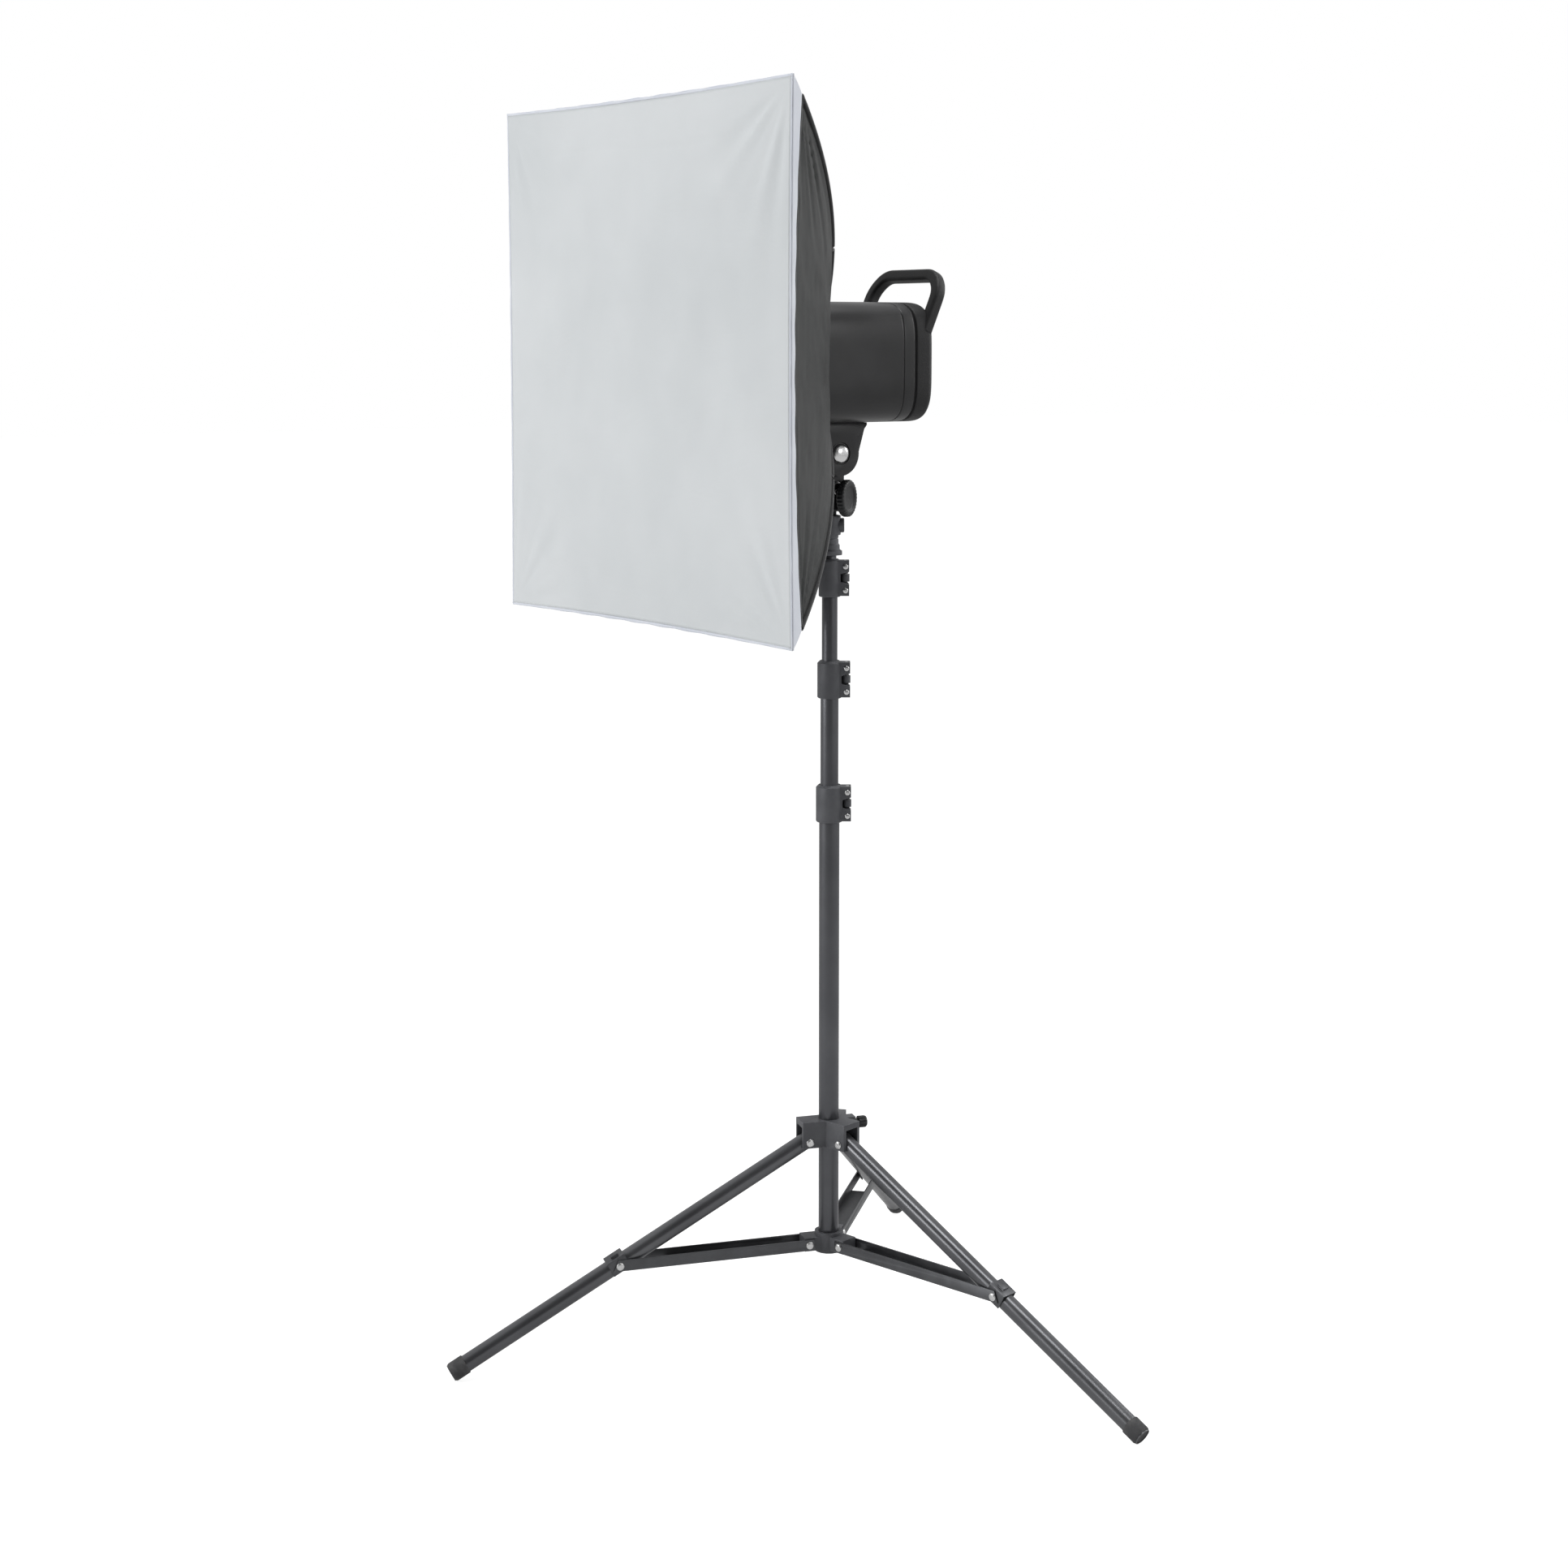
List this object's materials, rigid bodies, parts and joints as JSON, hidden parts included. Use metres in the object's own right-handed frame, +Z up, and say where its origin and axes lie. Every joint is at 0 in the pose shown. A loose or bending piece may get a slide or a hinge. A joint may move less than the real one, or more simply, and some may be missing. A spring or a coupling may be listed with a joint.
{
  "type": "studio softbox on stand",
  "caption": "Square softbox on a monolight lamp head that pans and tilts on a telescoping light stand with a folding tripod base.",
  "frame": {"origin": "floor level, under the middle of the whole object", "axes": "+Z up along the stand, the softbox faces -Y, +X across it"},
  "size_m": [0.8068, 0.8296, 1.516],
  "materials": {
    "casting": "satin",
    "painted_tube": "satin",
    "leg_tube": "satin",
    "steel": "polished",
    "brace_sheet": "satin",
    "black_plastic": "fine texture",
    "black_metal": "satin",
    "rubber": "matt",
    "aluminium": "machined",
    "circuit_board": "solder mask",
    "phosphor": "matt",
    "display_glass": "gloss",
    "black_cloth": "coated weave",
    "white_cloth": "translucent weave",
    "rim_cloth": "weave"
  },
  "bodies": {
    "stand_base": {"base_tube": "painted_tube", "brace_hub": "casting", "section_clamp_lower": "casting", "clamp_pin_lower": "steel"},
    "collar": {"leg_collar": "casting", "leg_pin_1": "steel", "leg_pin_2": "steel", "leg_pin_3": "steel"},
    "collar_knob_part": {"collar_knob": "black_plastic"},
    "lower_mid_section": {"lower_mid_tube": "painted_tube", "section_clamp_middle": "casting", "clamp_pin_middle": "steel"},
    "upper_mid_section": {"upper_mid_tube": "painted_tube", "section_clamp_upper": "casting", "clamp_pin_upper": "steel"},
    "top_section": {"top_tube": "painted_tube", "stand_spigot": "casting"},
    "receiver": {"spigot_receiver": "black_metal"},
    "receiver_knob_part": {"receiver_knob": "black_plastic"},
    "lamp": {"tilt_bracket": "black_metal", "tilt_bolt": "steel", "lamp_housing": "black_metal", "rear_bezel": "black_plastic", "carry_handle": "black_plastic", "rear_panel": "black_plastic", "power_inlet": "black_plastic", "display_window": "display_glass", "lamp_mount_ring": "aluminium", "led_module": "phosphor", "heat_sink": "aluminium", "fan_frame": "black_plastic", "driver_board": "circuit_board"},
    "tilt_lever_part": {"tilt_lever": "black_plastic"},
    "dial": {"control_dial": "black_plastic"},
    "rocker": {"power_switch": "black_plastic"},
    "latch": {"mount_latch": "black_plastic"},
    "fan": {"fan_rotor": "black_plastic"},
    "softbox": {"speed_ring": "black_metal", "rod_1": "steel", "rod_2": "steel", "rod_3": "steel", "rod_4": "steel", "softbox_shell": "black_cloth", "diffuser_rim": "rim_cloth", "diffuser": "white_cloth"},
    "leg_part_1": {"leg_1": "leg_tube", "foot_cap_1": "rubber", "leg_clip_1": "brace_sheet"},
    "brace_part_1": {"brace_1": "brace_sheet"},
    "leg_part_2": {"leg_2": "leg_tube", "foot_cap_2": "rubber", "leg_clip_2": "brace_sheet"},
    "brace_part_2": {"brace_2": "brace_sheet"},
    "leg_part_3": {"leg_3": "leg_tube", "foot_cap_3": "rubber", "leg_clip_3": "brace_sheet"},
    "brace_part_3": {"brace_3": "brace_sheet"},
    "lever_lower": {"clamp_lever_lower": "black_plastic"},
    "lever_middle": {"clamp_lever_middle": "black_plastic"},
    "lever_upper": {"clamp_lever_upper": "black_plastic"}
  },
  "joints": [
    {"name": "collar_slide", "type": "slide", "parent": "stand_base", "child": "collar", "axis": [0, 0, 1], "range_m": [0, 0.37]},
    {"name": "leg_fold_1", "type": "hinge", "parent": "collar", "child": "leg_part_1", "pos_m": [-0.08084, 0.02133, 0.256], "axis": [0.9511, -0.309, 0], "range_deg": [0, 47.83]},
    {"name": "brace_fold_1", "type": "hinge", "parent": "stand_base", "child": "brace_part_1", "pos_m": [-0.08084, 0.02133, 0.125], "axis": [-0.9511, 0.309, 0], "range_deg": [0, 75.14]},
    {"name": "leg_fold_2", "type": "hinge", "parent": "collar", "child": "leg_part_2", "pos_m": [-0.04416, 0.05436, 0.256], "axis": [-0.2079, 0.9781, 0], "range_deg": [0, 47.83]},
    {"name": "brace_fold_2", "type": "hinge", "parent": "stand_base", "child": "brace_part_2", "pos_m": [-0.04416, 0.05436, 0.125], "axis": [0.2079, -0.9781, 0], "range_deg": [0, 75.14]},
    {"name": "leg_fold_3", "type": "hinge", "parent": "collar", "child": "leg_part_3", "pos_m": [-0.09111, 0.06961, 0.256], "axis": [-0.7431, -0.6691, 0], "range_deg": [0, 47.83]},
    {"name": "brace_fold_3", "type": "hinge", "parent": "stand_base", "child": "brace_part_3", "pos_m": [-0.09111, 0.06961, 0.125], "axis": [0.7431, 0.6691, 0], "range_deg": [0, 75.14]},
    {"name": "collar_knob_turn", "type": "hinge", "parent": "collar", "child": "collar_knob_part", "pos_m": [-0.07204, 0.04843, 0.273], "axis": [0.309, 0.9511, 0], "continuous": true},
    {"name": "lower_extend", "type": "slide", "parent": "stand_base", "child": "lower_mid_section", "axis": [0, 0, 1], "range_m": [-0.104, 0.36]},
    {"name": "middle_extend", "type": "slide", "parent": "lower_mid_section", "child": "upper_mid_section", "axis": [0, 0, 1], "range_m": [-0.076, 0.38]},
    {"name": "upper_extend", "type": "slide", "parent": "upper_mid_section", "child": "top_section", "axis": [0, 0, 1], "range_m": [-0.004, 0.45]},
    {"name": "lever_open_lower", "type": "hinge", "parent": "stand_base", "child": "lever_lower", "pos_m": [-0.0591, 0.06623, 0.678], "axis": [0, 0, -1], "range_deg": [0, 100]},
    {"name": "lever_open_middle", "type": "hinge", "parent": "lower_mid_section", "child": "lever_middle", "pos_m": [-0.05998, 0.06502, 0.831], "axis": [0, 0, -1], "range_deg": [0, 100]},
    {"name": "lever_open_upper", "type": "hinge", "parent": "upper_mid_section", "child": "lever_upper", "pos_m": [-0.06087, 0.0638, 0.955], "axis": [0, 0, -1], "range_deg": [0, 100]},
    {"name": "pan", "type": "hinge", "parent": "top_section", "child": "receiver", "pos_m": [-0.07204, 0.04843, 1.05], "axis": [0, 0, 1], "continuous": true},
    {"name": "receiver_knob_turn", "type": "hinge", "parent": "receiver", "child": "receiver_knob_part", "pos_m": [-0.07204, 0.04843, 1.052], "axis": [0.866, 0.5, 0], "continuous": true},
    {"name": "tilt", "type": "hinge", "parent": "receiver", "child": "lamp", "pos_m": [-0.07204, 0.04843, 1.106], "axis": [-1, 0, 0], "range_deg": [-30, 85]},
    {"name": "tilt_lever_turn", "type": "hinge", "parent": "lamp", "child": "tilt_lever_part", "pos_m": [-0.10204, 0.04843, 1.106], "axis": [1, 0, 0], "range_deg": [-45, 45]},
    {"name": "dial_turn", "type": "hinge", "parent": "lamp", "child": "dial", "pos_m": [-0.04603, 0.14743, 1.207], "axis": [0, 1, 0], "continuous": true},
    {"name": "switch_rock", "type": "hinge", "parent": "lamp", "child": "rocker", "pos_m": [-0.10604, 0.14343, 1.181], "axis": [1, 0, 0], "range_deg": [0, 10]},
    {"name": "latch_pull", "type": "slide", "parent": "lamp", "child": "latch", "axis": [0, 1, 0], "range_m": [0, 0.003], "stiffness_N_per_m": 300},
    {"name": "fan_turn", "type": "hinge", "parent": "lamp", "child": "fan", "pos_m": [-0.07204, 0.07443, 1.215], "axis": [0, 1, 0], "continuous": true},
    {"name": "softbox_turn", "type": "hinge", "parent": "lamp", "child": "softbox", "pos_m": [-0.07204, -0.02157, 1.215], "axis": [0, 1, 0], "continuous": true}
  ],
  "couplings": [
    {"joint": "leg_fold_1", "follows": "collar_slide", "rad_per_m": 2.2536},
    {"joint": "brace_fold_1", "follows": "collar_slide", "rad_per_m": 3.5419},
    {"joint": "leg_fold_2", "follows": "collar_slide", "rad_per_m": 2.2536},
    {"joint": "brace_fold_2", "follows": "collar_slide", "rad_per_m": 3.5419},
    {"joint": "leg_fold_3", "follows": "collar_slide", "rad_per_m": 2.2536},
    {"joint": "brace_fold_3", "follows": "collar_slide", "rad_per_m": 3.5419}
  ]
}
